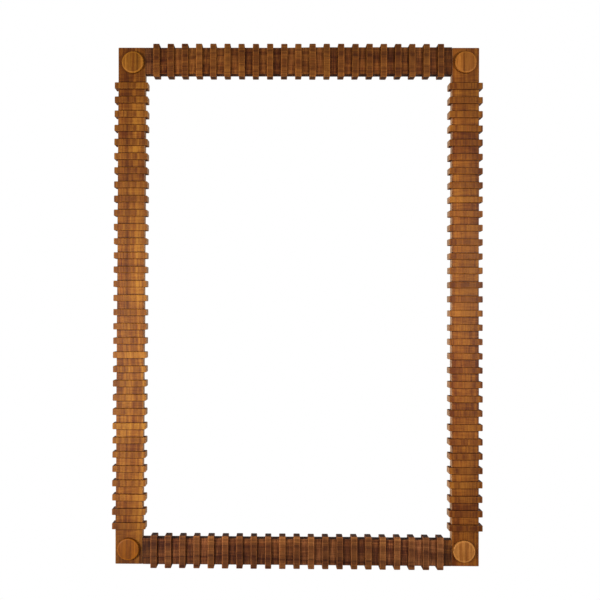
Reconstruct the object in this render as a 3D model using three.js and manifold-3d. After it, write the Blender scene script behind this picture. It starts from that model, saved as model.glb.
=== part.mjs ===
// Ribbed hardwood wall frame, in millimetres, +Z up.
// The origin is the middle of the opening, on the plane of the wooden back. The front faces -Y.
// Two stiles run the full height, and two rails are half-lapped behind them. Cross ribs are left
// standing on the front and on both edges of each stick. A dowel pins each corner lap, and a
// turned button covers its front end. Two strap hangers and two bumpers are on the back.

import * as THREE from 'three'
import { mergeVertices } from 'three/addons/utils/BufferGeometryUtils.js'
import Module from 'manifold-3d'

const wasm = await Module()
wasm.setup()

// ---- Driving dimensions ----

const fitGap = 0.3 // left between pieces that touch
const overcut = 1 // how far a cutting block runs past the face it cuts

// Widths of the sticks between their ribs; the bottom rail was planed a little narrower
const stileWidth = 48.5
const topRailWidth = 48
const bottomRailWidth = 46.6
const bodyDepth = 16.7
const stileRibPitch = 25.4
const railRibPitch = 25.45
const ribThickness = 11.3
const ribOverhang = 5.7 // past each edge of the stick
const ribProud = 5.5 // above the front of the stick
const railEndGap = 15 // from a rail's shoulder to its first rib
const stileEndGap = 16 // from the corner block to a stile's first rib
const railRibCount = 21
const stileRibCount = 32

const buttonRadius = 19.5
const buttonHeight = 7
const buttonRim = 2.2
const dowelRadius = 5
const dowelInButton = 2.2
// side and level say which corner; the button was set this far from its middle, in X and Z
const corners = {
  top_left: { side: -1, level: 1, setX: 2.5, setZ: -4 },
  top_right: { side: 1, level: 1, setX: -0.8, setZ: -3.2 },
  bottom_left: { side: -1, level: -1, setX: -0.7, setZ: 4.2 },
  bottom_right: { side: 1, level: -1, setX: -3.1, setZ: 4.4 },
}
const sides = { left: -1, right: 1 }
const levels = { top: 1, bottom: -1 }

const hangerHeight = 250 // of the ring's hinge, above the middle of the frame
const strapWidth = 11
const strapThickness = 2 // folded double
const strapLength = 33 // from the hinge down to the rounded end
const eyeInner = 1.7
const eyeOuter = 2.7
const ringWire = 1.3
const ringHalfWidth = 9.5
const ringLength = 17
const ringCorner = 3
const ringSeam = 0.4
const screwDrops = { upper: 10, lower: 24 } // below the hinge
const screwShank = 1.9
const screwHead = 3.9
const screwHeadHeight = 1.8
const screwDepth = 10 // into the wood
const screwPoint = 3

const bumperRadius = 6
const bumperHeight = 4.2
const bumperRise = 34 // above the lower rail's inner edge

// ---- Sizes that follow from them ----

const ribRun = (count, pitch) => (count - 1) * pitch + ribThickness
const innerHalfWidth = ribRun(railRibCount, railRibPitch) / 2 + railEndGap
const innerHalfHeight = ribRun(stileRibCount, stileRibPitch) / 2 + stileEndGap
const outerHalfWidth = innerHalfWidth + stileWidth
const stileMiddle = innerHalfWidth + stileWidth / 2
const railWidth = (level) => (level > 0 ? topRailWidth : bottomRailWidth)
const railOuter = (level) => level * (innerHalfHeight + railWidth(level))
const railMiddle = (level) => level * (innerHalfHeight + railWidth(level) / 2)
const ribDepth = bodyDepth + ribProud
const lapPlane = -bodyDepth / 2
const hingeY = fitGap + eyeOuter
const screwHeadSeat = strapThickness + 2 * fitGap

// ---- Materials ----

const material = (color, roughness, metalness = 0) =>
  new THREE.MeshStandardMaterial({ color, roughness, metalness })

const finishes = {
  stile: material(0x8a5224, 0.5),
  rail: material(0x6f3f1c, 0.5),
  button: material(0x96602a, 0.45),
  dowel: material(0xb08a58, 0.6),
  plated: material(0xb9a878, 0.3, 1),
  rubber: material(0x2a2a2a, 0.8),
}

// ---- Working with solids ----

function solidFrom(geometry) {
  const bare = geometry.clone()
  bare.deleteAttribute('normal')
  bare.deleteAttribute('uv')
  const merged = mergeVertices(bare, 1e-4)
  const mesh = new wasm.Mesh({
    numProp: 3,
    vertProperties: new Float32Array(merged.attributes.position.array),
    triVerts: new Uint32Array(merged.index.array),
  })
  return new wasm.Manifold(mesh)
}

function geometryFrom(solid) {
  const mesh = solid.getMesh()
  const geometry = new THREE.BufferGeometry()
  geometry.setAttribute('position', new THREE.BufferAttribute(mesh.vertProperties, 3))
  geometry.setIndex(new THREE.BufferAttribute(mesh.triVerts, 1))
  return geometry
}

// A solid box between two opposite corners, given in any order
function block(cornerA, cornerB) {
  const size = cornerA.map((value, i) => Math.abs(cornerB[i] - value))
  const middle = cornerA.map((value, i) => (cornerB[i] + value) / 2)
  return solidFrom(new THREE.BoxGeometry(...size).translate(...middle))
}

// A solid round bar along Y, from y0 to y1
function barAlongY(radius, x, z, y0, y1, segments = 24) {
  const bar = new THREE.CylinderGeometry(radius, radius, y1 - y0, segments)
  return solidFrom(bar.translate(x, (y0 + y1) / 2, z))
}

// A turned piece on the Y axis; its profile gives [radius, distance behind the seat]
function turned(profile, segments) {
  const points = profile.map(([radius, distance]) => new THREE.Vector2(radius, distance))
  return new THREE.LatheGeometry(points, segments)
}

// Profile points round the edge of a turned piece, from its side to its end
function roundedRim(radius, height, rim, steps) {
  return Array.from({ length: steps + 1 }, (_, i) => {
    const angle = (i / steps) * (Math.PI / 2)
    return [radius - rim * (1 - Math.cos(angle)), height - rim * (1 - Math.sin(angle))]
  })
}

// ---- Places ----

function cornerPlace({ side, level, setX, setZ }) {
  return { x: side * stileMiddle + setX, z: railMiddle(level) + setZ }
}

// ---- Sticks: a plain bar and its ribs, in one piece ----

function ribbedStick(bar, ribBlock, ribCount, pitch) {
  let solid = bar
  for (let i = 0; i < ribCount; i++) {
    const middle = (i - (ribCount - 1) / 2) * pitch
    solid = solid.add(ribBlock(middle - ribThickness / 2, middle + ribThickness / 2))
  }
  return solid
}

function drillForDowels(solid, chosen) {
  for (const corner of Object.values(corners).filter(chosen)) {
    const { x, z } = cornerPlace(corner)
    const hole = barAlongY(dowelRadius + fitGap, x, z, -bodyDepth - overcut, overcut)
    solid = solid.subtract(hole)
  }
  return solid
}

function stile(side) {
  const outer = side * outerHalfWidth
  const inner = side * innerHalfWidth
  let solid = ribbedStick(
    block([outer, -bodyDepth, railOuter(-1)], [inner, 0, railOuter(1)]),
    (z0, z1) =>
      block([outer + side * ribOverhang, -ribDepth, z0], [inner - side * ribOverhang, 0, z1]),
    stileRibCount,
    stileRibPitch,
  )
  for (const level of Object.values(levels)) {
    const shoulder = level * (innerHalfHeight - fitGap / 2)
    const pastEnd = railOuter(level) + level * overcut
    const lapFace = lapPlane - fitGap / 2
    solid = solid.subtract(
      block([outer + side * overcut, lapFace, shoulder], [inner - side * overcut, overcut, pastEnd]),
    )
  }
  for (const drop of Object.values(screwDrops)) {
    const depth = screwDepth + fitGap
    const z = hangerHeight - drop
    solid = solid.subtract(barAlongY(screwShank + fitGap, side * stileMiddle, z, -depth, overcut, 12))
  }
  return drillForDowels(solid, (corner) => corner.side === side)
}

function rail(level) {
  const outer = railOuter(level)
  const inner = level * innerHalfHeight
  let solid = ribbedStick(
    block([-outerHalfWidth, -bodyDepth, outer], [outerHalfWidth, 0, inner]),
    (x0, x1) =>
      block([x0, -ribDepth, outer + level * ribOverhang], [x1, 0, inner - level * ribOverhang]),
    railRibCount,
    railRibPitch,
  )
  for (const side of Object.values(sides)) {
    const shoulder = side * (innerHalfWidth - fitGap / 2)
    const pastEnd = side * (outerHalfWidth + overcut)
    const [pastOuter, pastInner] = [outer + level * overcut, inner - level * overcut]
    const lapFace = lapPlane + fitGap / 2
    solid = solid.subtract(
      block([shoulder, -bodyDepth - overcut, pastOuter], [pastEnd, lapFace, pastInner]),
    )
  }
  return drillForDowels(solid, (corner) => corner.level === level)
}

// ---- Corner pieces, made facing +Y and turned to face the front ----

// A low disc with a rounded rim, and a blind hole in its back for the dowel
function cornerButton() {
  const holeRadius = dowelRadius + fitGap
  const holeDepth = dowelInButton + fitGap
  const profile = [
    [0, holeDepth],
    [holeRadius, holeDepth],
    [holeRadius, 0],
    [buttonRadius, 0],
    ...roundedRim(buttonRadius, buttonHeight, buttonRim, 4),
    [0, buttonHeight],
  ]
  return turned(profile, 40).rotateX(Math.PI)
}

// From the wooden back, through both laps, into the button
function cornerDowel() {
  const length = bodyDepth + fitGap + dowelInButton
  return turned([[0, 0], [dowelRadius, 0], [dowelRadius, length], [0, length]], 24).rotateX(Math.PI)
}

// ---- Hangers, made with the hinge axis on X ----

// The side view of a strap folded round the ring's bar: x is up, y is away from the wood
function strapSideView() {
  const seat = -eyeOuter
  const top = seat + strapThickness
  const shape = new THREE.Shape()
  shape.moveTo(-strapLength, seat)
  shape.lineTo(0, seat)
  shape.absarc(0, 0, eyeOuter, -Math.PI / 2, Math.PI - Math.asin(top / eyeOuter), false)
  shape.lineTo(-strapLength, top)
  shape.closePath()
  const eye = new THREE.Path()
  eye.absarc(0, 0, eyeInner, 0, 2 * Math.PI, true)
  shape.holes.push(eye)
  return shape
}

// The strap seen from behind the frame: a round lower end and two screw holes
function strapPlan() {
  const half = strapWidth / 2
  const above = eyeOuter + overcut
  const shape = new THREE.Shape()
  shape.moveTo(-half, above)
  shape.lineTo(-half, half - strapLength)
  shape.absarc(0, half - strapLength, half, Math.PI, 2 * Math.PI, false)
  shape.lineTo(half, above)
  shape.closePath()
  for (const drop of Object.values(screwDrops)) {
    const hole = new THREE.Path()
    hole.absarc(0, -drop, screwShank + fitGap, 0, 2 * Math.PI, true)
    shape.holes.push(hole)
  }
  return shape
}

function hangerStrap() {
  const folded = new THREE.ExtrudeGeometry(strapSideView(), {
    depth: strapWidth + 2 * overcut, bevelEnabled: false, curveSegments: 10,
  })
  folded.rotateY(-Math.PI / 2).translate(strapWidth / 2 + overcut, 0, 0)
  const reach = eyeOuter + overcut
  const outline = new THREE.ExtrudeGeometry(strapPlan(), {
    depth: 2 * reach, bevelEnabled: false, curveSegments: 8,
  })
  outline.rotateX(Math.PI / 2).translate(0, reach, 0)
  return geometryFrom(solidFrom(folded).intersect(solidFrom(outline)))
}

// An arc in the XZ plane
class UprightArc extends THREE.Curve {
  constructor(x, z, radius, from, to) {
    super()
    Object.assign(this, { x, z, radius, from, to })
  }

  getPoint(t, target = new THREE.Vector3()) {
    const angle = this.from + (this.to - this.from) * t
    const [across, up] = [this.radius * Math.cos(angle), this.radius * Math.sin(angle)]
    return target.set(this.x + across, 0, this.z + up)
  }
}

// A bent wire: its straight bar lies on the hinge axis, and its butt seam hides in the strap
function hangerRing() {
  const path = new THREE.CurvePath()
  const line = (x0, z0, x1, z1) =>
    path.add(new THREE.LineCurve3(new THREE.Vector3(x0, 0, z0), new THREE.Vector3(x1, 0, z1)))
  const arc = (...numbers) => path.add(new UprightArc(...numbers))
  const cornerX = ringHalfWidth - ringCorner
  const bowZ = ringLength - ringHalfWidth
  line(ringSeam / 2, 0, cornerX, 0)
  arc(cornerX, ringCorner, ringCorner, -Math.PI / 2, 0)
  line(ringHalfWidth, ringCorner, ringHalfWidth, bowZ)
  arc(0, bowZ, ringHalfWidth, 0, Math.PI)
  line(-ringHalfWidth, bowZ, -ringHalfWidth, ringCorner)
  arc(-cornerX, ringCorner, ringCorner, Math.PI, 1.5 * Math.PI)
  line(-cornerX, 0, -ringSeam / 2, 0)
  const section = new THREE.Shape()
  section.absarc(0, 0, ringWire, 0, 2 * Math.PI, false)
  return new THREE.ExtrudeGeometry(section, { extrudePath: path, steps: 48, curveSegments: 4 })
}

// A round-head wood screw; its zero is the wooden back
function hangerScrew() {
  const headEnd = screwHeadSeat + screwHeadHeight
  const profile = [
    [0, -screwDepth],
    [screwShank, screwPoint - screwDepth],
    [screwShank, screwHeadSeat],
    ...roundedRim(screwHead, headEnd, screwHeadHeight, 3),
    [0, headEnd],
  ]
  return turned(profile, 16)
}

function bumper() {
  const profile = [
    [0, 0],
    [bumperRadius, 0],
    ...roundedRim(bumperRadius, bumperHeight, bumperHeight / 2, 3),
    [0, bumperHeight],
  ]
  return turned(profile, 24)
}

// ---- Assembly ----

const frame = new THREE.Group()

function place(name, geometry, finish, x = 0, y = 0, z = 0) {
  const mesh = new THREE.Mesh(geometry, finish)
  mesh.name = name
  mesh.position.set(x, y, z)
  frame.add(mesh)
}

for (const [name, side] of Object.entries(sides)) {
  place(`${name}_stile`, geometryFrom(stile(side)), finishes.stile)
}
for (const [name, level] of Object.entries(levels)) {
  place(`${name}_rail`, geometryFrom(rail(level)), finishes.rail)
}
for (const [name, corner] of Object.entries(corners)) {
  const { x, z } = cornerPlace(corner)
  place(`corner_dowel_${name}`, cornerDowel(), finishes.dowel, x, 0, z)
  place(`corner_button_${name}`, cornerButton(), finishes.button, x, -bodyDepth - fitGap, z)
}
for (const [name, side] of Object.entries(sides)) {
  const x = side * stileMiddle
  place(`hanger_strap_${name}`, hangerStrap(), finishes.plated, x, hingeY, hangerHeight)
  place(`hanger_ring_${name}`, hangerRing(), finishes.plated, x, hingeY, hangerHeight)
  for (const [spot, drop] of Object.entries(screwDrops)) {
    place(`hanger_screw_${name}_${spot}`, hangerScrew(), finishes.plated, x, 0, hangerHeight - drop)
  }
  place(`bumper_${name}`, bumper(), finishes.rubber, x, fitGap, bumperRise - innerHalfHeight)
}

export default frame
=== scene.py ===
"""Looks for the ribbed hardwood wall frame, in metres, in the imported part's own frame.

The four sticks, the buttons, dowels, screws, rings and bumpers are rebuilt here as finer meshes
that take the place of the plain CAD nodes. The two straps keep their CAD shape. Every material is
procedural, and each stick and button has its own wood.
"""

import math
import random
from types import SimpleNamespace

import bmesh
import bpy
from mathutils import Matrix, Vector, noise


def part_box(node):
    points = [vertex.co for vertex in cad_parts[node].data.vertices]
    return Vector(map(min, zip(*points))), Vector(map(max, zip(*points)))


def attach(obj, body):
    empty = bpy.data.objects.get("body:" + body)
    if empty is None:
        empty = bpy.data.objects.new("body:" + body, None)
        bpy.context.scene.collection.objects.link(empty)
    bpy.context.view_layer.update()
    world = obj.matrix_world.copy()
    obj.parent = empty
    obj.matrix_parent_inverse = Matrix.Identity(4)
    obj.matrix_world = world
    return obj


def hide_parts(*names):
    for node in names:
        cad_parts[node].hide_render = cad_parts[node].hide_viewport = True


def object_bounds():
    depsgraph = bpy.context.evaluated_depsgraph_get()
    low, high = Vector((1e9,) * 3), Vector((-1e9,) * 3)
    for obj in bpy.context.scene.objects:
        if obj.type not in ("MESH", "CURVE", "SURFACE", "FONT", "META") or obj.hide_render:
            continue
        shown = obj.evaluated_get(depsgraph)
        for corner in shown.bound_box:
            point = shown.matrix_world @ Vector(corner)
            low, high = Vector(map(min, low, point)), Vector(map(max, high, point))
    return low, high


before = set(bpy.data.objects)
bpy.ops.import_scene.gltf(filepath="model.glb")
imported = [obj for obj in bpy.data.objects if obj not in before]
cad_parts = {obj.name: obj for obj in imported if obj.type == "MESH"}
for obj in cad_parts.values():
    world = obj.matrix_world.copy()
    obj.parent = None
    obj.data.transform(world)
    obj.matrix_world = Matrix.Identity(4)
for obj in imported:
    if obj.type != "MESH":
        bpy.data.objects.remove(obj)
cad_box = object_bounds()

MM = 0.001

# ---- Driving dimensions, as in the part ----

STILE_PITCH = 25.4 * MM
RAIL_PITCH = 25.45 * MM
RIB_THICKNESS = 11.3 * MM
RIB_OVERHANG = 5.7 * MM
RIB_PROUD = 5.5 * MM
STILE_RIBS = 32
RAIL_RIBS = 21
FIT_GAP = 0.3 * MM
DOWEL_HOLE = 5.3 * MM  # radius
SCREW_HOLE = 2.2 * MM  # radius
SCREW_HOLE_DEPTH = 10.3 * MM
BUTTON_HOLE_DEPTH = 2.5 * MM

# ---- Small irregularities of the sticks ----

ARRIS = 1.25 * MM  # how far the sharp edges are sanded back
RIB_WOBBLE = 0.35 * MM  # hand-cut ribs stop short by up to this much
RIB_SHIFT = 0.12 * MM  # usual error in the place of a rib's side
RIB_LEAN = 0.1 * MM  # usual error in how square a rib stands
EDGE_WANDER = 0.45 * MM  # how far the sawn edges stray
TOP_RAIL_WANDER = 0.3 * MM
TOP_RAIL_FULLNESS = 1.1 * MM  # extra on the right-hand half of the top rail's outer edge

# ---- Reach of the wood's shading, in mm ----

STRIPE_FADE = 25  # each end of a stripe fades over twice this
SLANT_REACH = 24  # from the centre line to the edge of a stick
LENGTHWISE_REACH = 275  # from the middle of a rail to its shoulder

SIDES = {"left": -1, "right": 1}
LEVELS = {"top": 1, "bottom": -1}

# Places worked out from the frame
stile_box = {name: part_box(f"{name}_stile") for name in SIDES}
rail_box = {name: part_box(f"{name}_rail") for name in LEVELS}
rib_depth = -stile_box["left"][0].y
body_depth = rib_depth - RIB_PROUD
stick_top = stile_box["left"][1].z
stick_bottom = stile_box["left"][0].z
inner_half_width = abs(stile_box["left"][1].x) + RIB_OVERHANG
outer_half_width = abs(stile_box["left"][0].x) - RIB_OVERHANG
inner_half_height = rail_box["top"][0].z + RIB_OVERHANG
lap_plane = body_depth / 2


def middle_of(node):
    low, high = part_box(node)
    return (low + high) / 2


CORNERS = [f"{level}_{side}" for level in LEVELS for side in SIDES]
button_middle = {corner: middle_of(f"corner_button_{corner}") for corner in CORNERS}
screw_middles = {
    side: [middle_of(f"hanger_screw_{side}_{spot}") for spot in ("upper", "lower")] for side in SIDES
}


# ---- Node helpers ----

class Shader:
    """A material's node tree, with short calls for the nodes used here."""

    def __init__(self, name):
        self.material = bpy.data.materials.new(name)
        self.material.use_nodes = True
        self.tree = self.material.node_tree
        self.tree.nodes.clear()
        self.output = self.tree.nodes.new("ShaderNodeOutputMaterial")

    def node(self, kind, inputs=None, **settings):
        made = self.tree.nodes.new(f"ShaderNode{kind}")
        for key, value in settings.items():
            setattr(made, key, value)
        for socket, value in (inputs or {}).items():
            self.put(made.inputs[socket], value)
        return made

    def put(self, socket, value):
        if isinstance(value, bpy.types.NodeSocket):
            self.tree.links.new(value, socket)
        else:
            socket.default_value = value

    def maths(self, operation, first, *others):
        """A maths node, or a chain of them where there are more than two values."""
        if not others:
            return self.node("Math", {0: first}, operation=operation).outputs[0]
        for other in others:
            first = self.node("Math", {0: first, 1: other}, operation=operation).outputs[0]
        return first

    def vector(self, operation, a, b):
        return self.node("VectorMath", {0: a, 1: b}, operation=operation).outputs[0]

    def brighten(self, colour, times):
        return self.node("VectorMath", {0: colour, "Scale": times}, operation="SCALE").outputs[0]

    def split(self, vector):
        return self.node("SeparateXYZ", {"Vector": vector}).outputs

    def attribute(self, name):
        return self.node("Attribute", attribute_name=name).outputs["Fac"]

    def noise(self, place, scale, detail, roughness, distortion=0.0):
        return self.node("TexNoise", {
            "Vector": place, "Scale": scale, "Detail": detail,
            "Roughness": roughness, "Distortion": distortion,
        }).outputs["Fac"]

    def grain_noise(self, plank, across, along, detail=3, roughness=0.5, distortion=0.0):
        """Noise in a plank, with how fine it is across the grain and along it, per centimetre."""
        stretched = self.vector("MULTIPLY", plank, (across, across, along))
        return self.noise(stretched, 1.0, detail, roughness, distortion)

    def ramp(self, value, stops):
        made = self.node("ValToRGB", {"Fac": value})
        ramp = made.color_ramp
        while len(ramp.elements) < len(stops):
            ramp.elements.new(0.5)
        for element, (position, colour) in zip(ramp.elements, stops):
            element.position = position
            element.color = (*colour, 1)
        return made.outputs["Color"]

    def fade(self, value, low, high, to_low=0.0, to_high=1.0):
        return self.node("MapRange", {
            "Value": value, "From Min": low, "From Max": high, "To Min": to_low, "To Max": to_high,
        }).outputs["Result"]

    def mix(self, share, a, b, blend="MIX"):
        made = self.node("Mix", data_type="RGBA", blend_type=blend)
        self.put(made.inputs[0], share)
        self.put(made.inputs[6], a if isinstance(a, bpy.types.NodeSocket) else (*a, 1))
        self.put(made.inputs[7], b if isinstance(b, bpy.types.NodeSocket) else (*b, 1))
        return made.outputs[2]

    def tint(self, share, colour, by):
        """Multiplies a colour by another one, where share is 1."""
        return self.mix(share, colour, by, "MULTIPLY")

    def bump(self, height, distance, strength):
        return self.node("Bump", {
            "Height": height, "Distance": distance, "Strength": strength,
        }).outputs["Normal"]

    def principled(self, **sockets):
        """The finished material, from the main shader's sockets, with _ for each space."""
        inputs = {name.replace("_", " "): value for name, value in sockets.items()}
        return self.finish(self.node("BsdfPrincipled", inputs).outputs[0])

    def finish(self, surface):
        self.tree.links.new(surface, self.output.inputs["Surface"])
        return self.material


def linear(red, green, blue):
    """A colour given in everyday 0 to 255 steps, as the linear values that a shader takes."""
    steps = [value / 255 for value in (red, green, blue)]
    return tuple(s / 12.92 if s <= 0.04045 else ((s + 0.055) / 1.055) ** 2.4 for s in steps)


# ---- Wood ----

def plank_place(s, place, along, seed):
    """The place on the plank in centimetres, with the grain on z. Each seed is a new piece of it."""
    turn = (0, math.pi / 2, 0) if along == "x" else (0, 0, 0)
    return s.node("Mapping", {
        "Vector": place, "Rotation": turn, "Scale": (100, 100, 100),
        "Location": (seed * 3.7, seed * 11.3, seed * 29.1),
    }).outputs["Vector"]


def wood_figure(s, plank, seed, marks, streaks, contrast):
    """The noises that make the figure, and the tone they give, from 0, dark, to 1, light."""
    figure = SimpleNamespace()
    # Growth rings: slow bands that wander along the stick
    figure.wander = s.grain_noise(plank, 0.10, 0.018)
    spot = s.split(plank)
    radial = s.maths("ADD", s.maths("MULTIPLY", spot["X"], 1.15),
                     s.maths("MULTIPLY", spot["Y"], 0.75))
    ring_phase = s.maths("ADD", radial, s.maths("MULTIPLY", figure.wander, 9.0))
    ring_place = s.node("CombineXYZ", {"X": ring_phase, "Y": seed * 1.3}).outputs[0]
    rings = s.noise(ring_place, 1.25, 4, 0.62)
    # Fibre: long fine streaks, and finer ones on them
    figure.streak = s.grain_noise(plank, 6.0, 0.16, 4, 0.6, 0.15)
    figure.fibre = s.grain_noise(plank, 24.0, 0.7, roughness=0.6)
    # Broad patches, where the finish took darker or lighter
    patches = s.grain_noise(plank, 0.28, 0.085)
    # Ripple across the grain, as light catches figured wood
    ripple = s.grain_noise(plank, 0.7, 1.7, roughness=0.55)
    # Pores: short dark dashes
    figure.pores = s.fade(s.grain_noise(plank, 34.0, 2.6, detail=2), 0.63, 0.74)
    # Bands that the cutter left across the floor of each groove
    figure.groove = s.attribute("groove")
    cutter = s.grain_noise(plank, 0.35, 4.5, roughness=0.6)
    figure.cutter_marks = s.maths("MULTIPLY", s.maths("SUBTRACT", cutter, 0.5),
                                  s.maths("MULTIPLY", figure.groove, marks))
    figure.rib_tone = s.attribute("rib_tone")

    # Each layer has the values that it runs between, and its share of the tone
    layers = [(rings, 0.30, 0.70, 0.42), (figure.streak, 0.30, 0.70, 0.30 * streaks),
              (patches, 0.30, 0.70, 0.26), (ripple, 0.25, 0.75, 0.12),
              (figure.fibre, 0.2, 0.8, 0.16 * streaks)]
    shares = [s.maths("MULTIPLY", s.fade(field, low, high), share)
              for field, low, high, share in layers]
    shares.append(s.maths("MULTIPLY", figure.rib_tone, 0.12))
    shares.append(s.maths("MULTIPLY", figure.cutter_marks, 2.0))
    middle_tone, half_range = 0.65, 0.35 / contrast
    figure.tone = s.fade(s.maths("ADD", *shares), middle_tone - half_range, middle_tone + half_range)
    return figure


def add_stripes(s, colour, figure, length, offset, stripes, stray):
    """Lays the plank's own bands over its figure. They wander, and their ends fade out."""
    drift = s.maths("MULTIPLY", s.maths("SUBTRACT", figure.wander, 0.5), stray)
    feather = s.maths("MULTIPLY", s.maths("SUBTRACT", figure.streak, 0.5), 0.4 * stray)
    wavy = s.maths("ADD", offset, s.maths("ADD", drift, feather))
    for centre, half, tint, low, high in stripes:
        off_centre = s.maths("ABSOLUTE", s.maths("SUBTRACT", wavy, centre))
        share = s.maths(
            "MULTIPLY",
            s.fade(off_centre, 0.4 * half, 1.4 * half, 1.0, 0.0),
            s.fade(length, low - STRIPE_FADE, low + STRIPE_FADE),
            s.fade(length, high - STRIPE_FADE, high + STRIPE_FADE, 1.0, 0.0),
        )
        colour = s.tint(share, colour, tint)
    return colour


def shade_stick(s, colour, length, offset, slant, lengthwise, ends):
    """Makes one side, one end or both ends of a stick lighter or darker."""
    if slant:
        colour = s.brighten(colour, s.fade(offset, -SLANT_REACH, SLANT_REACH, 1 - slant, 1 + slant))
    if lengthwise:
        colour = s.brighten(colour, s.fade(length, -LENGTHWISE_REACH, LENGTHWISE_REACH,
                                           1 - lengthwise, 1 + lengthwise))
    # Ends: on the stiles, painted shade at the lower end and painted light at the upper end; on the
    # rails, a tint on the bays past the last ribs
    if ends:
        low_tint, high_tint, start, full = ends
        colour = s.tint(s.fade(length, -full, -start, 1.0, 0.0), colour, low_tint)
        colour = s.tint(s.fade(length, start, full), colour, high_tint)
    return colour


def line_ribs(s, colour, plank, figure, length, ribs, rib_edge_wear_and_highlight, rib_foot_shade):
    """Wear with a painted highlight along the long edges of each rib, and painted shade on the groove
    floor beside its outward side.
    """
    count, pitch = ribs[0], ribs[1] / MM
    half_rib = RIB_THICKNESS / MM / 2
    # An odd number of ribs has one at the stick's middle
    to_middle = pitch / 2 if count % 2 else 0
    # Outward is how far a point is from its rib's middle, away from the stick's middle
    outward = s.maths("MODULO", s.maths("ADD", s.maths("ABSOLUTE", length), to_middle), pitch)
    outward = s.maths("SUBTRACT", outward, pitch / 2)
    # Lighter long edges on each rib: wear and a painted highlight, strongest on the side away from
    # the middle
    far_edge = s.fade(s.maths("SUBTRACT", half_rib, outward), 1.3, 2.3, 1.0, 0.0)
    near_edge = s.fade(s.maths("ADD", half_rib, outward), 1.3, 2.3, 0.35, 0.0)
    edge_break = s.fade(s.grain_noise(plank, 1.6, 1.6, roughness=0.6), 0.3, 0.6, 0.4, 1)
    edges = s.maths("MULTIPLY", s.maths("MAXIMUM", far_edge, near_edge), edge_break,
                    s.maths("SUBTRACT", 1.0, figure.groove))
    colour = s.tint(edges, colour, rib_edge_wear_and_highlight)
    # Painted shade on the groove floor just past each rib's outward side
    past_rib = s.maths("SUBTRACT", outward, half_rib)
    foot_shade = s.maths("MULTIPLY", s.fade(past_rib, -1, 0), s.fade(past_rib, 1.8, 3.0, 1.0, 0.0),
                   figure.groove)
    return s.tint(foot_shade, colour, rib_foot_shade)


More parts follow.
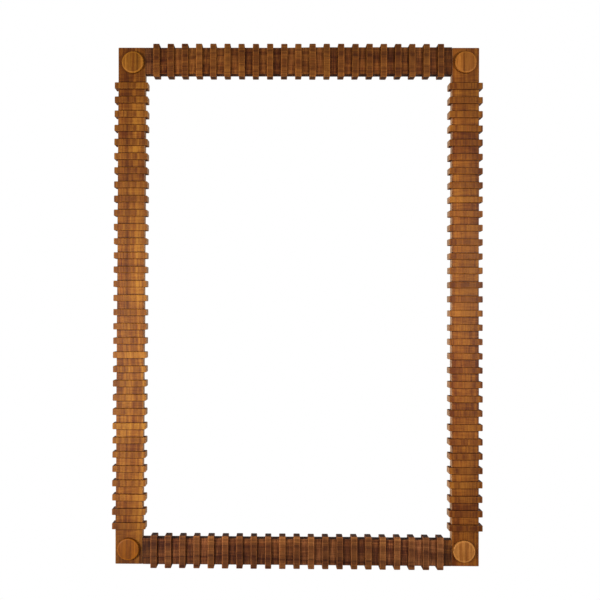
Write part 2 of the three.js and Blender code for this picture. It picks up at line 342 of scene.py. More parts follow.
def hardwood(name, along, seed, tones, middle=0.0, groove_tint=(1, 1, 1), marks=0.3, streaks=1.0,
             slant=0.0, lengthwise=0.0, ends=None, stripes=(), stray=8.0, arris_wear_and_highlight=0.7, nook_shade=0.72,
             contrast=1.0, ribs=None, rib_edge_wear_and_highlight=(1, 1, 1), rib_foot_shade=(1, 1, 1), inner=None):
    """Oiled brown hardwood. Along is the axis that the grain runs on, "x" or "z".

    Tones are the figure's darkest, usual and lightest colours, and contrast parts them further.
    Middle is where the piece's centre line lies across the grain. Slant lightens the side that is
    further along the cross axis, and lengthwise the end that is further along the grain. Streaks
    is the strength of the fibre, and marks that of the cutter's bands on the groove floors.
    Ends is how a stick's ends differ: (low end's tint, high end's tint, and how far from the
    middle, in mm, they start and are full). On the stiles these tints are painted shade at the
    lower end and painted light at the upper end.
    Stripes are bands of the plank's figure: (place from the centre line, half width, tint, from,
    to) in mm. They wander by about stray.
    Ribs is a stick's (number of ribs, pitch). Rib_edge_wear_and_highlight tints them along their
    long edges, as wear with a painted highlight, most of all on the side away from the stick's
    middle. Rib_foot_shade paints shade on the groove floor on that side.
    Inner is how the faces turned to the opening differ: (which way they face on the cross axis,
    share, colour); on the stiles it is a painted pale sheen, and on the rails painted shade.
    Arris_wear_and_highlight is how far the arrises lighten, as wear with a painted highlight.
    Nook_shade is the painted shade in the inside corners.
    The mesh tells it where the arrises are, for their wear and painted highlight, which faces are
    the floor of a groove, and how much lighter or darker each rib is than the next.
    """
    s = Shader(name)
    place = s.node("TexCoord").outputs["Object"]
    plank = plank_place(s, place, along, seed)
    grain_axis, cross_axis = ("X", "Z") if along == "x" else ("Z", "X")
    facing = s.split(s.node("TexCoord").outputs["Normal"])
    end_grain = s.fade(s.maths("ABSOLUTE", facing[grain_axis]), 0.55, 0.9)
    edge_face = s.fade(s.maths("ABSOLUTE", facing[cross_axis]), 0.6, 0.95)
    back_face = s.fade(facing["Y"], 0.5, 0.9)
    spot = s.split(place)
    length = s.maths("DIVIDE", spot[grain_axis], MM)
    offset = s.maths("DIVIDE", s.maths("SUBTRACT", spot[cross_axis], middle), MM)

    figure = wood_figure(s, plank, seed, marks, streaks, contrast)
    dark, usual, light = tones
    colour = s.ramp(figure.tone, [(0.0, dark), (0.5, usual), (1.0, light)])
    colour = add_stripes(s, colour, figure, length, offset, stripes, stray)
    colour = shade_stick(s, colour, length, offset, slant, lengthwise, ends)
    # Here and there a redder streak, and some ribs more golden than others
    red_field = s.grain_noise(plank, 2.2, 0.06, detail=2)
    colour = s.tint(s.fade(red_field, 0.52, 0.72, 0, 0.4), colour, (1.10, 0.84, 0.74))
    golden = s.maths("FRACT", s.maths("MULTIPLY", figure.rib_tone, 7.31))
    colour = s.tint(s.fade(golden, 0.0, 1.0, 0.0, 0.5), colour, (0.97, 1.05, 0.78))
    colour = s.tint(figure.groove, colour, groove_tint)
    if ribs:
        colour = line_ribs(s, colour, plank, figure, length, ribs, rib_edge_wear_and_highlight, rib_foot_shade)
    colour = s.tint(s.maths("MULTIPLY", figure.pores, 0.55), colour, (0.30, 0.24, 0.20))
    # Faces turned to the opening: a painted pale sheen on the stiles, painted shade on the rails
    if inner:
        way, share, inner_painted_tone = inner
        turned_in = s.fade(s.maths("MULTIPLY", facing[cross_axis], way), 0.35, 0.85, 0.0, share)
        colour = s.mix(turned_in, colour, inner_painted_tone)
    # End grain drinks the oil and goes dark
    speckle = s.grain_noise(plank, 16.0, 16.0, roughness=0.6)
    end_tone = s.mix(s.fade(speckle, 0.3, 0.7), (0.46, 0.38, 0.32), (0.70, 0.60, 0.52))
    colour = s.tint(end_grain, colour, end_tone)
    # The back was only wiped over: paler and duller
    colour = s.mix(s.maths("MULTIPLY", back_face, 0.55), colour, linear(150, 108, 72))
    # Wear on the arrises with a painted highlight on it, broken up along their length
    arris_wear_and_highlight_tone = tuple(min(1.0, 1.35 * part) for part in light)
    rub_break = s.fade(s.grain_noise(plank, 2.6, 2.6, roughness=0.6), 0.32, 0.62, 0.3, 1.0)
    arris_wear_and_highlight_mask = s.maths("MULTIPLY", s.attribute("arris_wear_and_highlight_mask"), rub_break, arris_wear_and_highlight)
    colour = s.mix(arris_wear_and_highlight_mask, colour, s.mix(0.8, colour, arris_wear_and_highlight_tone))
    # Painted shade in the inside corners, darker where the ambient occlusion is deeper
    nook = s.node("AmbientOcclusion", {"Distance": 2.0 * MM}, samples=6, only_local=True)
    colour = s.tint(s.fade(nook.outputs["AO"], 0.55, 0.9, nook_shade, 0.0), colour, (0.34, 0.26, 0.22))

    rough = s.maths(
        "ADD", s.fade(figure.streak, 0.3, 0.7, 0.44, 0.58), s.maths("MULTIPLY", figure.pores, 0.2),
        s.maths("MULTIPLY", back_face, 0.2), s.maths("MULTIPLY", end_grain, 0.12),
        s.maths("MULTIPLY", edge_face, 0.3),
    )
    height = s.maths("ADD", s.maths("MULTIPLY", figure.fibre, 0.5),
                     s.maths("MULTIPLY", figure.streak, 0.5))
    height = s.maths("SUBTRACT", height, s.maths("MULTIPLY", figure.pores, 0.8))
    height = s.maths("ADD", height, s.maths("MULTIPLY", figure.cutter_marks, 2.0))
    return s.principled(
        Base_Color=colour, Roughness=rough, IOR=1.48, Specular_IOR_Level=0.16,
        Normal=s.bump(height, 0.12 * MM, 0.8), Coat_Weight=0.1, Coat_Roughness=0.32, Coat_IOR=1.45,
    )


# ---- Metal and rubber ----

def plated_steel():
    """Brass-coloured plating, a little tarnished, on stamped steel."""
    s = Shader("plated_steel")
    place = s.node("TexCoord").outputs["Object"]
    cloud = s.noise(place, 260, 4, 0.6)
    spots = s.fade(s.noise(place, 900, 2, 0.5), 0.62, 0.74)
    scratches = s.noise(s.vector("MULTIPLY", place, (2600, 2600, 240)), 1.0, 2, 0.5)
    dull, usual, bright = linear(172, 140, 84), linear(206, 178, 120), linear(222, 200, 150)
    colour = s.ramp(cloud, [(0.3, dull), (0.55, usual), (0.8, bright)])
    colour = s.mix(s.maths("MULTIPLY", spots, 0.5), colour, linear(96, 74, 48))
    rough = s.maths("ADD", s.fade(cloud, 0.3, 0.7, 0.24, 0.38), s.maths("MULTIPLY", spots, 0.2))
    return s.principled(Base_Color=colour, Metallic=1.0, Roughness=rough,
                        Normal=s.bump(scratches, 0.03 * MM, 0.5))


def soft_rubber():
    """Moulded dark rubber with a dusty bloom."""
    s = Shader("soft_rubber")
    place = s.node("TexCoord").outputs["Object"]
    bloom = s.noise(place, 420, 4, 0.6)
    grain = s.noise(place, 5200, 2, 0.5)
    colour = s.ramp(bloom, [(0.3, linear(30, 29, 28)), (0.7, linear(58, 56, 53))])
    rough = s.fade(bloom, 0.3, 0.7, 0.62, 0.82)
    return s.principled(Base_Color=colour, Roughness=rough, Normal=s.bump(grain, 0.04 * MM, 0.6))


# ---- Mesh helpers ----

def new_object(name, bm, material):
    mesh = bpy.data.meshes.new(name)
    bm.to_mesh(mesh)
    bm.free()
    made = bpy.data.objects.new(name, mesh)
    bpy.context.scene.collection.objects.link(made)
    made.data.materials.append(material)
    return made


def bake_modifiers(made):
    """Keeps the mesh that the modifiers give, and drops the modifiers."""
    depsgraph = bpy.context.evaluated_depsgraph_get()
    baked = bpy.data.meshes.new_from_object(
        made.evaluated_get(depsgraph), preserve_all_data_layers=True, depsgraph=depsgraph)
    old = made.data
    made.modifiers.clear()
    made.data = baked
    bpy.data.meshes.remove(old)


def cut(made, cutters):
    """Cuts the cutter meshes out of an object and removes them."""
    for cutter in cutters:
        modifier = made.modifiers.new("cut", "BOOLEAN")
        modifier.operation = "DIFFERENCE"
        modifier.solver = "EXACT"
        modifier.object = cutter
    bpy.context.view_layer.update()
    bake_modifiers(made)
    for cutter in cutters:
        bpy.data.objects.remove(cutter)


def new_cutter(bm):
    mesh = bpy.data.meshes.new("cutter")
    bm.to_mesh(mesh)
    bm.free()
    cutter = bpy.data.objects.new("cutter", mesh)
    bpy.context.scene.collection.objects.link(cutter)
    return cutter


def bar_cutter(radius, middle, y0, y1, segments):
    """A round cutter along Y, from y0 to y1, at the x and z of a piece's middle."""
    bm = bmesh.new()
    turn = Matrix.Rotation(math.pi / 2, 4, "X")
    place = Matrix.Translation((middle.x, (y0 + y1) / 2, middle.z)) @ turn
    bmesh.ops.create_cone(bm, cap_ends=True, segments=segments, radius1=radius, radius2=radius,
                          depth=y1 - y0, matrix=place)
    return new_cutter(bm)


def dowel_cutters(corners):
    back, front = MM, -2 * rib_depth
    return [bar_cutter(DOWEL_HOLE, button_middle[corner], front, back, 48) for corner in corners]


def turned(profile, segments):
    """A turned piece on the Y axis, from (radius, distance along Y) points on its outline."""
    bm = bmesh.new()
    rings = []
    for radius, y in profile:
        if radius < 1e-7:
            rings.append([bm.verts.new((0, y, 0))])
            continue
        angles = [2 * math.pi * i / segments for i in range(segments)]
        rings.append([bm.verts.new((radius * math.cos(a), y, radius * math.sin(a))) for a in angles])
    for low, high in zip(rings, rings[1:]):
        for i in range(segments):
            corners = [low[i % len(low)], low[(i + 1) % len(low)]]
            corners += [high[(i + 1) % len(high)], high[i % len(high)]]
            distinct = list(dict.fromkeys(corners))
            if len(distinct) > 2:
                bm.faces.new(distinct)
    bmesh.ops.recalc_face_normals(bm, faces=bm.faces)
    for face in bm.faces:
        face.smooth = True
    return bm


def arc(centre, radius, start, end, steps):
    """Points on an arc, in degrees, both ends included."""
    angles = [math.radians(start + (end - start) * i / steps) for i in range(steps + 1)]
    return [(centre[0] + radius * math.cos(a), centre[1] + radius * math.sin(a)) for a in angles]


# ---- Sticks ----

def rib_spans(count, pitch):
    middles = [(i - (count - 1) / 2) * pitch for i in range(count)]
    return [(m - RIB_THICKNESS / 2, m + RIB_THICKNESS / 2) for m in middles]


def stick_sections(start, end, shoulder_low, shoulder_high, ribs):
    """The stations along a stick and the kind of section between each two of them."""
    stations = [start, shoulder_low]
    kinds = ["lap"]
    for low, high in ribs:
        stations += [low, high]
        kinds += ["body", "rib"]
    stations += [shoulder_high, end]
    kinds += ["body", "lap"]
    return stations, kinds


def stick(stations, kinds, across, lap_rows, to_world, seed, drift):
    """One ribbed stick as a mesh of blocks. Across runs from the outer to the inner rib tip, and
    depth rises from the back; lap_rows are the depth rows that are left at the corner laps.
    Drift gives how far each of the stick's own two edges strays at a place along it."""
    rng = random.Random(seed)
    depths = [0, lap_plane - FIT_GAP / 2, lap_plane + FIT_GAP / 2, body_depth, rib_depth]
    filled = {
        "rib": [(a, d) for a in range(3) for d in range(4)],
        "body": [(1, d) for d in range(3)],
        "lap": [(1, d) for d in lap_rows],
    }
    wobble = [
        {"outer": rng.random() * RIB_WOBBLE, "inner": rng.random() * RIB_WOBBLE,
         "proud": rng.random() * 0.6 * RIB_WOBBLE, "start": rng.gauss(0, RIB_SHIFT),
         "end": rng.gauss(0, RIB_SHIFT), "lean": rng.gauss(0, RIB_LEAN)}
        for _ in kinds
    ]
    bm = bmesh.new()
    verts = {}

    def vert(i, a, d):
        if (i, a, d) not in verts:
            u, v, w = stations[i], across[a], depths[d]
            rib = i if kinds[min(i, len(kinds) - 1)] == "rib" else i - 1
            if 0 <= rib < len(kinds) and kinds[rib] == "rib":
                own = wobble[rib]
                inward = math.copysign(1, across[3] - across[0])
                u += own["start"] if i == rib else own["end"]
                u += own["lean"] * (1 if a > 1 else -1)
                if a == 0:
                    v += inward * own["outer"]
                if a == 3:
                    v -= inward * own["inner"]
                if d == 4:
                    w -= own["proud"]
            if a in (1, 2):
                v += drift(u, a)
            verts[i, a, d] = bm.verts.new(to_world(u, v, w))
        return verts[i, a, d]

    cells = {(i, a, d) for i, kind in enumerate(kinds) for a, d in filled[kind]}
    corner_order = [(0, 0), (1, 0), (1, 1), (0, 1)]
    for i, a, d in cells:
        for axis in range(3):
            for step in (0, 1):
                neighbour = [i, a, d]
                neighbour[axis] += 1 if step else -1
                if tuple(neighbour) in cells:
                    continue
                ring = []
                for p, q in corner_order:
                    corner = [i, a, d]
                    corner[axis] += step
                    corner[(axis + 1) % 3] += p
                    corner[(axis + 2) % 3] += q
                    ring.append(vert(*corner))
                bm.faces.new(ring if step else ring[::-1])
    bmesh.ops.recalc_face_normals(bm, faces=bm.faces)
    return bm


def ease_arrises(made, keep_sharp):
    """Rounds the stick's outside edges, apart from those that keep_sharp picks out."""
    bm = bmesh.new()
    bm.from_mesh(made.data)
    bmesh.ops.remove_doubles(bm, verts=bm.verts, dist=1e-6)
    weight = bm.edges.layers.float.new("bevel_weight_edge")
    for edge in bm.edges:
        if len(edge.link_faces) != 2:
            continue
        middle = (edge.verts[0].co + edge.verts[1].co) / 2
        angle = edge.calc_face_angle_signed(0)
        if angle > math.radians(60) and not keep_sharp(middle):
            edge[weight] = 1.0
        elif abs(angle) > math.radians(30):
            edge.smooth = False
    for face in bm.faces:
        face.smooth = True
    bm.to_mesh(made.data)
    bm.free()
    bevel = made.modifiers.new("arris", "BEVEL")
    bevel.limit_method = "WEIGHT"
    bevel.width = ARRIS
    bevel.segments = 3
    bevel.loop_slide = False
    bevel.harden_normals = True
    bevel.use_clamp_overlap = False
    bpy.context.view_layer.update()
    bake_modifiers(made)


def mark_arris_wear_and_highlight(made):
    """Writes 1 on the middle of each rounded edge, for the wear and the painted highlight in the
    wood's colour.
    """
    mesh = made.data
    flat = [False] * len(mesh.vertices)
    for polygon in mesh.polygons:
        if max(abs(n) for n in polygon.normal) > 0.985:
            for index in polygon.vertices:
                flat[index] = True
    attribute = mesh.attributes.new("arris_wear_and_highlight_mask", "FLOAT", "POINT")
    attribute.data.foreach_set("value", [0.0 if is_flat else 1.0 for is_flat in flat])


def mark_ribs(made, axis, spans, seed):
    """Writes each face's own rib tone, and 1 on the floors and edges of the grooves."""
    rng = random.Random(seed)
    mesh = made.data
    slack = 0.2 * MM
    rib_tones = [rng.uniform(-1, 1) for _ in spans]
    groove_tones = [rng.uniform(-1, 1) for _ in range(len(spans) + 1)]
    tones = []
    grooves = []
    for polygon in mesh.polygons:
        u = polygon.center[axis]
        before = sum(1 for low, high in spans if high + slack < u)
        on_rib = before < len(spans) and u > spans[before][0] - slack
        tones.append(rib_tones[before] if on_rib else groove_tones[before])
        past_ends = u < spans[0][0] - RIB_THICKNESS or u > spans[-1][1] + RIB_THICKNESS
        grooves.append(0.0 if on_rib or past_ends else 1.0)
    mesh.attributes.new("rib_tone", "FLOAT", "FACE").data.foreach_set("value", tones)
    mesh.attributes.new("groove", "FLOAT", "FACE").data.foreach_set("value", grooves)


def edge_drift(seed, amount):
    """A slow wander of the sawn edges of a stick, different on each edge."""
    def drift(u, edge):
        return amount * noise.noise(Vector((u * 14, edge * 7.7, seed)))
    return drift


def top_rail_drift(u, edge):
    """The top rail's outer edge was left fuller over its right-hand half."""
    step_place, step_length = 10 * MM, 15 * MM
    share = 1 / (1 + math.exp(-(u - step_place) / step_length)) if edge == 1 else 0
    return TOP_RAIL_FULLNESS * share + edge_drift(5, TOP_RAIL_WANDER)(u, edge)


def build_stile(name, material):
    side = SIDES[name]
    outer = side * (outer_half_width + RIB_OVERHANG)
    across = [outer, side * outer_half_width, side * inner_half_width,
              side * (inner_half_width - RIB_OVERHANG)]
    shoulder = inner_half_height - FIT_GAP / 2
    spans = rib_spans(STILE_RIBS, STILE_PITCH)
    stations, kinds = stick_sections(stick_bottom, stick_top, -shoulder, shoulder, spans)
    bm = stick(stations, kinds, across, [2], lambda u, v, w: (v, -w, u), 10 + side,
               edge_drift(3 + side, EDGE_WANDER))
    made = new_object(f"{name}_stile_wood", bm, material)
    corners = [f"top_{name}", f"bottom_{name}"]
    screw_cutters = [bar_cutter(SCREW_HOLE, middle, -SCREW_HOLE_DEPTH, MM, 24)
                     for middle in screw_middles[name]]
    cut(made, dowel_cutters(corners) + screw_cutters)

    def keep_sharp(point):
        behind_lap = abs(point.z) > shoulder - MM and point.y > -body_depth + MM and (
            abs(point.y + lap_plane) < MM or abs(abs(point.z) - shoulder) < 0.1 * MM)
        return behind_lap or in_hole(point, corners, screw_middles[name])

    ease_arrises(made, keep_sharp)
    mark_arris_wear_and_highlight(made)
    mark_ribs(made, 2, spans, 30 + side)
    return made


def build_rail(name, material):
    level = LEVELS[name]
    low, high = rail_box[name]
    outer = high.z if level > 0 else low.z
    inner = low.z if level > 0 else high.z
    across = [outer, outer - level * RIB_OVERHANG, inner + level * RIB_OVERHANG, inner]
    shoulder = inner_half_width - FIT_GAP / 2
    spans = rib_spans(RAIL_RIBS, RAIL_PITCH)
    stations, kinds = stick_sections(-outer_half_width, outer_half_width, -shoulder, shoulder, spans)
    drift = top_rail_drift if level > 0 else edge_drift(8, EDGE_WANDER)
    bm = stick(stations, kinds, across, [0], lambda u, v, w: (u, -w, v), 20 + level, drift)
    made = new_object(f"{name}_rail_wood", bm, material)
    corners = [f"{name}_left", f"{name}_right"]
    cut(made, dowel_cutters(corners))

    def keep_sharp(point):
        at_tongue = abs(point.x) > shoulder - MM and (
            abs(point.y + lap_plane) < MM or abs(abs(point.x) - shoulder) < 0.1 * MM)
        return at_tongue or in_hole(point, corners, [])

    ease_arrises(made, keep_sharp)
    mark_arris_wear_and_highlight(made)
    mark_ribs(made, 0, spans, 40 + level)
    return made


def in_hole(point, corners, screws):
    """Whether a point is on the wall or rim of a dowel hole or a screw hole."""
    middles = [(button_middle[corner], DOWEL_HOLE) for corner in corners]
    middles += [(middle, SCREW_HOLE) for middle in screws]
    return any(math.hypot(point.x - m.x, point.z - m.z) < radius + 0.2 * MM for m, radius in middles)


# ---- Corner pieces ----

def build_button(corner, material):
    """A turned disc with a rounded rim, a barely crowned face, and a blind hole in its back."""
    low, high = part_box(f"corner_button_{corner}")
    radius = (high.x - low.x) / 2
    height = high.y - low.y
    rim = 2.1 * MM
    crown = 0.3 * MM
    back_ease = 0.3 * MM
    profile = [(0, BUTTON_HOLE_DEPTH), (DOWEL_HOLE, BUTTON_HOLE_DEPTH), (DOWEL_HOLE, 0)]
    profile += [(radius - back_ease, 0), (radius, back_ease)]
    profile += arc((radius - rim, height - crown - rim), rim, 0, 84, 8)
    edge_radius, edge_height = profile[-1]
    crown_steps = 14
    for i in range(1, crown_steps + 1):
        share = 1 - i / crown_steps
        profile.append((edge_radius * share, height - (height - edge_height) * share ** 2))
    bm = turned(profile, 96)
    bmesh.ops.transform(bm, matrix=Matrix.Rotation(math.pi, 4, "X"), verts=bm.verts)
    middle = (low + high) / 2
    bmesh.ops.translate(bm, vec=(middle.x, high.y, middle.z), verts=bm.verts)
    made = new_object(f"corner_button_{corner}_wood", bm, material)
    made.data.set_sharp_from_angle(angle=math.radians(40))
    # The rim's arris, for wear with a painted highlight in the wood's colour
    attribute = made.data.attributes.new("arris_wear_and_highlight_mask", "FLOAT", "POINT")
    rim_start = radius - rim * 1.3
    values = []
    for vertex in made.data.vertices:
        out = math.hypot(vertex.co.x - middle.x, vertex.co.z - middle.z)
        near_front = vertex.co.y < high.y - height + rim
        values.append(1.0 if out > rim_start and near_front else 0.0)
    attribute.data.foreach_set("value", values)
    return made


def build_dowel(corner, material):
    """A round pin with its ends chamfered."""
    low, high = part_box(f"corner_dowel_{corner}")
    radius = (high.x - low.x) / 2
    length = high.y - low.y
    ease = 0.5 * MM
    profile = [(0, 0), (radius - ease, 0), (radius, ease), (radius, length - ease),
               (radius - ease, length), (0, length)]
    bm = turned(profile, 48)
    middle = (low + high) / 2
    bmesh.ops.translate(bm, vec=(middle.x, low.y, middle.z), verts=bm.verts)
    made = new_object(f"corner_dowel_{corner}_wood", bm, material)
    made.data.set_sharp_from_angle(angle=math.radians(30))
    return made


# ---- Hardware on the back ----

def build_screw(side, spot, material):
    """A round-head wood screw with a cross recess, and rings for a thread near its point."""
    low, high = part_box(f"hanger_screw_{side}_{spot}")
    middle = (low + high) / 2
    head = (high.x - low.x) / 2
    seat = 2.6 * MM
    rim = 0.25 * MM
    dome = high.y - seat - rim
    shank = 1.75 * MM
    root = 0.72 * shank
    point_length, threaded_length = 1.8 * MM, 9 * MM
    crest, thread_width = 0.35 * MM, 0.7 * MM
    profile = [(0, low.y), (shank * 0.5, low.y + point_length)]
    for thread_place in (2.4, 3.6, 4.8, 6.0, 7.2):
        y = low.y + thread_place * MM
        profile += [(root, y), (shank, y + crest), (root, y + thread_width)]
    profile += [(shank, low.y + threaded_length), (shank, seat), (head, seat), (head, seat + rim)]
    profile += [(head * math.cos(t), seat + rim + dome * math.sin(t))
                for t in (math.radians(angle) for angle in range(10, 90, 10))]
    profile += [(0, high.y)]
    bm = turned(profile, 40)
    bmesh.ops.translate(bm, vec=(middle.x, 0, middle.z), verts=bm.verts)
    made = new_object(f"hanger_screw_{side}_{spot}_metal", bm, material)
    turn = random.Random(f"{side}{spot}").uniform(0, math.pi / 2)
    top = Matrix.Translation((middle.x, high.y, middle.z))
    size = Matrix.Diagonal((3.9 * MM, 2.4 * MM, 0.75 * MM, 1))
    cutters = []
    for quarter in (0, math.pi / 2):
        slot = bmesh.new()
        bmesh.ops.create_cube(slot, size=1)
        spin = Matrix.Rotation(turn + quarter, 4, "Y")
        bmesh.ops.transform(slot, matrix=top @ spin @ size, verts=slot.verts)
        cutters.append(new_cutter(slot))
    cut(made, cutters)
    made.data.set_sharp_from_angle(angle=math.radians(35))
    return made


def build_ring(side, material):
    """A bent-wire D-ring, swept along its own centre line; its butt seam hides in the strap."""
    low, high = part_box(f"hanger_ring_{side}")
    wire = (high.y - low.y) / 2
    middle = (low + high) / 2
    half = (high.x - low.x) / 2 - wire
    corner = 3 * MM
    base = low.z + wire
    bow = high.z - wire - half
    seam = 0.2 * MM
    straight = 0.35 * half
    path = [(seam, base), (straight, base)]
    path += arc((half - corner, base + corner), corner, -90, 0, 8)
    path += arc((0, bow), half, 0, 180, 36)
    path += arc((-half + corner, base + corner), corner, 180, 270, 8)
    path += [(-straight, base), (-seam, base)]
    curve = bpy.data.curves.new(f"ring_path_{side}", "CURVE")
    curve.dimensions = "3D"
    curve.bevel_depth = wire
    curve.bevel_resolution = 5
    curve.use_fill_caps = True
    spline = curve.splines.new("POLY")
    spline.points.add(len(path) - 1)
    for point, (x, z) in zip(spline.points, path):
        point.co = (middle.x + x, middle.y, z, 1)
    holder = bpy.data.objects.new(f"ring_holder_{side}", curve)
    bpy.context.scene.collection.objects.link(holder)
    bpy.context.view_layer.update()
    depsgraph = bpy.context.evaluated_depsgraph_get()
    mesh = bpy.data.meshes.new_from_object(holder.evaluated_get(depsgraph))
    bpy.data.objects.remove(holder)
    made = bpy.data.objects.new(f"hanger_ring_{side}_metal", mesh)
    bpy.context.scene.collection.objects.link(made)
    made.data.materials.clear()
    made.data.materials.append(material)
    for polygon in mesh.polygons:
        polygon.use_smooth = True
    return made


def dress_strap(node, material):
    """Eases the edges of the stamped strap, which keeps its CAD shape."""
    node.data.materials.clear()
    node.data.materials.append(material)
    merge = node.modifiers.new("merge", "DECIMATE")
    merge.decimate_type = "DISSOLVE"
    merge.angle_limit = math.radians(0.5)
    bevel = node.modifiers.new("edges", "BEVEL")
    bevel.limit_method = "ANGLE"
    bevel.angle_limit = math.radians(50)
    bevel.width = 0.3 * MM
    bevel.segments = 2


def build_bumper(side, material):
    """A moulded rubber foot: a skirt, a shallow groove and a domed pad."""
    low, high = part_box(f"bumper_{side}")
    radius = (high.x - low.x) / 2
    height = high.y - low.y
    middle = (low + high) / 2
    ease = 0.2 * MM
    skirt = 1.1 * MM
    groove = 0.25 * MM
    groove_start, groove_end = 1.25 * MM, 1.5 * MM
    shoulder = 2.05 * MM
    shoulder_drop = 2.1 * MM
    pad = radius - 2 * MM
    crown = 0.06 * MM
    profile = [(0, 0), (radius - ease, 0), (radius, ease), (radius, skirt)]
    profile += [(radius - groove, groove_start), (radius - groove, groove_end)]
    profile += arc((radius - groove - shoulder, height - shoulder_drop), shoulder, 0, 80, 9)
    profile += [(pad * share, height - crown * share) for share in (0.75, 0.5, 0.25)]
    profile += [(0, height)]
    bm = turned(profile, 64)
    bmesh.ops.translate(bm, vec=(middle.x, low.y, middle.z), verts=bm.verts)
    made = new_object(f"bumper_{side}_rubber", bm, material)
    made.data.set_sharp_from_angle(angle=math.radians(45))
    return made


# ---- The wood of each stick and button ----

# The parts of a stripe that say where it lies: place and half width, and from and to, in mm
WHOLE_WIDTH = (0, 40)
EVERYWHERE = (-500, 500)

STILE_WOODS = {
    "left": {
        "seed": 1.0, "slant": 0.03, "contrast": 1.2,
        "tones": (linear(94, 44, 8), linear(132, 75, 20), linear(166, 106, 34)),
        # Painted shade at the lower end and painted light at the upper end
        "ends": ((0.68, 0.60, 0.48), (1.08, 1.04, 0.95), 320, 450),
        # Painted pale sheen on the face turned to the opening
        "inner": (1, 0.28, linear(228, 190, 150)),
        "stripes": [
            (0, 4, (1.14, 1.18, 1.22), -500, 300),
            (9, 9, (1.06, 1.07, 1.02), *EVERYWHERE),
            (-6, 2, (0.82, 0.80, 0.80), -500, 440),
            (-17, 5, (0.96, 0.90, 0.92), -100, 500),
            (22, 4, (0.50, 0.45, 0.35), -500, -425),
            (22, 4, (0.82, 0.80, 0.74), 425, 500),
            (*WHOLE_WIDTH, (1.14, 1.16, 1.14), 255, 335),
            (*WHOLE_WIDTH, (0.88, 0.83, 0.77), 120, 230),
            (*WHOLE_WIDTH, (1.12, 1.18, 1.18), -225, -155),
            (*WHOLE_WIDTH, (1.11, 1.15, 1.24), -400, -265),
            (*WHOLE_WIDTH, (1.07, 1.10, 1.06), -45, 105),
            (*WHOLE_WIDTH, (0.58, 0.60, 0.75), -520, -465),
        ],
    },
    "right": {
        "seed": 2.0, "slant": -0.14, "contrast": 1.4,
        "tones": (linear(92, 42, 7), linear(127, 70, 17), linear(158, 96, 29)),
        # Painted shade at the lower end and painted light at the upper end
        "ends": ((0.90, 0.79, 0.60), (1.20, 1.24, 1.20), 320, 450),
        # Painted pale sheen on the face turned to the opening
        "inner": (-1, 0.42, linear(228, 190, 150)),
        "stripes": [
            (-15, 8, (1.17, 1.19, 1.18), -115, 500),
            (-19, 5, (0.84, 0.78, 0.74), -500, -175),
            (-3, 2, (0.85, 0.82, 0.80), 150, 500),
            (-22, 4, (0.66, 0.60, 0.55), -500, -425),
            (*WHOLE_WIDTH, (1.10, 1.08, 1.06), -250, -60),
            (*WHOLE_WIDTH, (1.07, 1.05, 1.0), 230, 360),
            (*WHOLE_WIDTH, (0.93, 0.91, 0.88), -40, 110),
        ],
    },
}
RAIL_WOODS = {
    "top": {
        "seed": 3.0, "slant": -0.15, "lengthwise": -0.07,
        "tones": (linear(76, 33, 7), linear(117, 65, 21), linear(158, 97, 38)),
        "ends": ((0.65, 0.66, 0.91), (0.67, 0.63, 0.44), 260, 262),
        # Painted shade on the face turned to the opening
        "inner": (-1, 0.6, linear(32, 15, 7)),
        "stripes": [(*WHOLE_WIDTH, (0.90, 0.85, 0.78), 90, 180)],
    },
    "bottom": {
        "seed": 4.0, "slant": 0.16, "lengthwise": 0.1,
        "tones": (linear(68, 30, 10), linear(108, 60, 25), linear(150, 92, 46)),
        "ends": ((0.74, 0.75, 0.56), (0.76, 0.78, 0.40), 260, 262),
        # Painted shade on the face turned to the opening
        "inner": (1, 0.6, linear(32, 15, 7)),
        "stripes": [
            (*WHOLE_WIDTH, (0.85, 0.85, 0.91), 5, 90),
            (*WHOLE_WIDTH, (1.14, 1.23, 1.38), 105, 190),
            (*WHOLE_WIDTH, (1.02, 1.10, 1.32), 190, 290),
        ],
    },
}
BUTTON_WOODS = {
    "top_left": {
        "seed": 5.0,
        "tones": (linear(102, 53, 7), linear(140, 82, 16), linear(176, 111, 32)),
        "stripes": [
            (-11.5, 4, (1.25, 1.3, 1.5), *EVERYWHERE),
            (1.5, 1.6, (0.66, 0.58, 0.4), *EVERYWHERE),
            (9, 3, (0.74, 0.74, 0.6), *EVERYWHERE),
            (16, 2, (1.3, 1.3, 1.5), *EVERYWHERE),
        ],
    },
    "top_right": {
        "seed": 6.0,
        "tones": (linear(96, 48, 6), linear(135, 75, 17), linear(168, 103, 36)),
        "stripes": [
            (-13, 7, (1.72, 1.85, 2.3), *EVERYWHERE),
            (-3, 1.8, (0.70, 0.66, 0.5), *EVERYWHERE),
            (9, 8, (0.93, 0.91, 0.95), *EVERYWHERE),
        ],
    },
    "bottom_left": {
        "seed": 7.0,
        "tones": (linear(70, 30, 1), linear(105, 53, 4), linear(138, 77, 8)),
        "stripes": [
            (11, 5, (1.42, 1.46, 1.5), *EVERYWHERE),
            (-1, 3, (0.84, 0.82, 0.85), *EVERYWHERE),
        ],
    },
    "bottom_right": {
        "seed": 8.0,
        "tones": (linear(110, 60, 13), linear(154, 94, 34), linear(191, 127, 60)),
        "stripes": [
            (-10.5, 3, (1.4, 1.5, 1.8), *EVERYWHERE),
            (-2, 1.8, (1.2, 1.22, 1.3), *EVERYWHERE),
            (3.5, 1.8, (0.74, 0.7, 0.6), *EVERYWHERE),
        ],
    },
}
DOWEL_TONES = (linear(130, 92, 52), linear(168, 126, 78), linear(196, 158, 108))


# ---- Assembly ----

def settle(piece, body, slot_name, *replaced):
    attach(piece, body)
    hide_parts(*replaced)


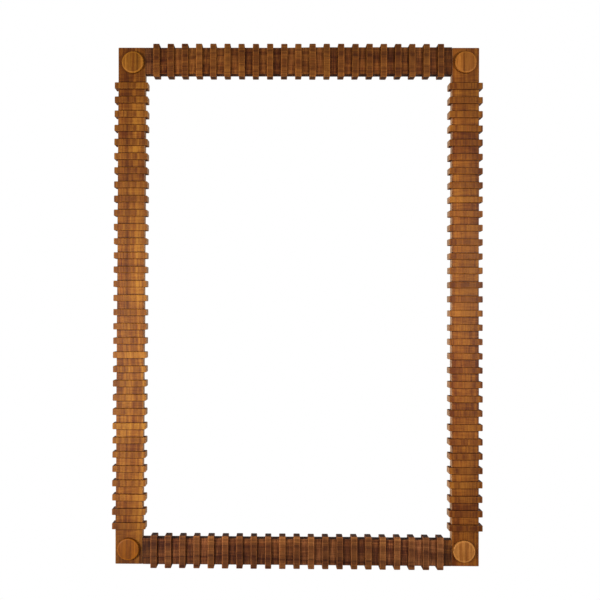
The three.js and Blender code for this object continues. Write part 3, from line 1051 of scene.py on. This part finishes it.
for name, looks in STILE_WOODS.items():
    wood = hardwood(f"{name}_stile_hardwood", "z", middle=middle_of(f"{name}_stile").x,
                    groove_tint=(0.98, 0.95, 0.95), arris_wear_and_highlight=0.4, ribs=(STILE_RIBS, STILE_PITCH),
                    rib_edge_wear_and_highlight=(1.15, 1.15, 1.15), rib_foot_shade=(0.62, 0.57, 0.52), **looks)
    settle(build_stile(name, wood), "frame", "stile_wood", f"{name}_stile")
for name, looks in RAIL_WOODS.items():
    wood = hardwood(f"{name}_rail_hardwood", "x", middle=middle_of(f"{name}_rail").z,
                    groove_tint=(0.99, 0.92, 1.05), marks=0.5, arris_wear_and_highlight=1.0, nook_shade=0.2, contrast=1.3,
                    ribs=(RAIL_RIBS, RAIL_PITCH), rib_edge_wear_and_highlight=(1.8, 1.8, 2.1), **looks)
    settle(build_rail(name, wood), "frame", "rail_wood", f"{name}_rail")
dowel_wood = hardwood("dowel_hardwood", "z", 9.0, DOWEL_TONES)
for corner, looks in BUTTON_WOODS.items():
    wood = hardwood(f"button_hardwood_{corner}", "z", middle=button_middle[corner].x, streaks=1.5,
                    stray=2.0, arris_wear_and_highlight=1.0, contrast=1.15, **looks)
    settle(build_button(corner, wood), "frame", "button_wood", f"corner_button_{corner}")
    settle(build_dowel(corner, dowel_wood), "frame", "dowel_wood", f"corner_dowel_{corner}")

metal = plated_steel()
rubber = soft_rubber()
for side in SIDES:
    dress_strap(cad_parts[f"hanger_strap_{side}"], metal)
    settle(build_ring(side, metal), f"{side}_ring", "plated_steel", f"hanger_ring_{side}")
    for spot in ("upper", "lower"):
        settle(build_screw(side, spot, metal), "frame", "plated_steel", f"hanger_screw_{side}_{spot}")
    settle(build_bumper(side, rubber), "frame", "bumper_rubber", f"bumper_{side}")


# ---- Floor, light and camera ----

FLOOR_REACH = 30
FLOOR_DROP = 2 * MM  # gap under the frame
WALL_LIGHT = 0.42  # the studio's own light from the level
CEILING_LIGHT = 0.06  # and from above and below

# Each light's place, aim, size, watts and spread in degrees
LIGHTS = {
    "left_softbox": ((-1.05, -1.15, -0.12), (-0.25, 0, -0.12), (0.5, 0.5), 4.4, 75),
    "right_softbox": ((1.05, -1.15, 0.06), (0.25, 0, 0.06), (0.5, 0.5), 2.7, 75),
    "left_rim": ((-1.25, 1.2, 0), (0.2, 0, 0), (0.4, 0.5), 11, 180),
    "right_rim": ((1.25, 1.2, 0), (-0.2, 0, 0), (0.4, 0.5), 11, 180),
}

# The camera, from a fit of the frame's outline in the photograph
LENS = 50
SENSOR_WIDTH = 36
SHIFT_X = 0.05
CAMERA_PLACE = (-0.0332, -1.5068, -0.00947)
CAMERA_TURN = (90.7517, -0.2268, 0.6156)


def pale_surface(name, seen, lit):
    """White where the camera looks straight at it, and a plain pale surface to the light."""
    s = Shader(name)
    plain = s.node("BsdfDiffuse", {"Color": (*lit, 1)}).outputs[0]
    bright = s.node("Emission", {"Color": (1, 1, 1, 1), "Strength": seen}).outputs[0]
    looking = s.node("LightPath").outputs["Is Camera Ray"]
    return s.finish(s.node("MixShader", {0: looking, 1: plain, 2: bright}).outputs[0])


def build_floor():
    """A wide smooth floor just under the frame."""
    bm = bmesh.new()
    bmesh.ops.create_grid(bm, x_segments=8, y_segments=8, size=FLOOR_REACH)
    bmesh.ops.translate(bm, vec=(0, 0, cad_box[0][2] - FLOOR_DROP), verts=bm.verts)
    made = new_object("floor", bm, pale_surface("floor_white", 1.0, (0.6, 0.6, 0.6)))


def build_world():
    """A white studio, whose pale walls give light from the sides and little from above or below."""
    world = bpy.data.worlds.new("studio")
    bpy.context.scene.world = world
    world.use_nodes = True
    tree = world.node_tree
    tree.nodes.clear()
    output, looking, seen, fill, facing, split, steep, strength, mixed = (
        tree.nodes.new(f"ShaderNode{kind}")
        for kind in ("OutputWorld", "LightPath", "Background", "Background", "TexCoord",
                     "SeparateXYZ", "Math", "MapRange", "MixShader")
    )
    seen.inputs["Color"].default_value = (1, 1, 1, 1)
    fill.inputs["Color"].default_value = (1, 1, 1, 1)
    steep.operation = "ABSOLUTE"
    settings = {"From Min": 0.1, "From Max": 0.6, "To Min": WALL_LIGHT, "To Max": CEILING_LIGHT}
    for socket, value in settings.items():
        strength.inputs[socket].default_value = value
    links = [
        (facing.outputs["Generated"], split.inputs[0]),
        (split.outputs["Z"], steep.inputs[0]),
        (steep.outputs[0], strength.inputs["Value"]),
        (strength.outputs[0], fill.inputs["Strength"]),
        (looking.outputs["Is Camera Ray"], mixed.inputs[0]),
        (fill.outputs[0], mixed.inputs[1]),
        (seen.outputs[0], mixed.inputs[2]),
        (mixed.outputs[0], output.inputs["Surface"]),
    ]
    for source, target in links:
        tree.links.new(source, target)


def build_light(name, place, aim, size, watts, spread):
    data = bpy.data.lights.new(name, "AREA")
    data.shape = "RECTANGLE"
    data.size, data.size_y = size
    data.energy = watts
    data.spread = math.radians(spread)
    made = bpy.data.objects.new(name, data)
    made.location = place
    made.rotation_euler = (Vector(aim) - Vector(place)).to_track_quat("-Z", "Y").to_euler()
    bpy.context.scene.collection.objects.link(made)


def build_camera():
    data = bpy.data.cameras.new("camera")
    data.lens = LENS
    data.sensor_width = SENSOR_WIDTH
    data.shift_x = SHIFT_X
    made = bpy.data.objects.new("camera", data)
    made.location = CAMERA_PLACE
    made.rotation_euler = [math.radians(angle) for angle in CAMERA_TURN]
    bpy.context.scene.collection.objects.link(made)
    bpy.context.scene.camera = made


build_floor()
build_world()
for name, settings in LIGHTS.items():
    build_light(name, *settings)
build_camera()
bpy.context.scene.view_settings.view_transform = "Standard"
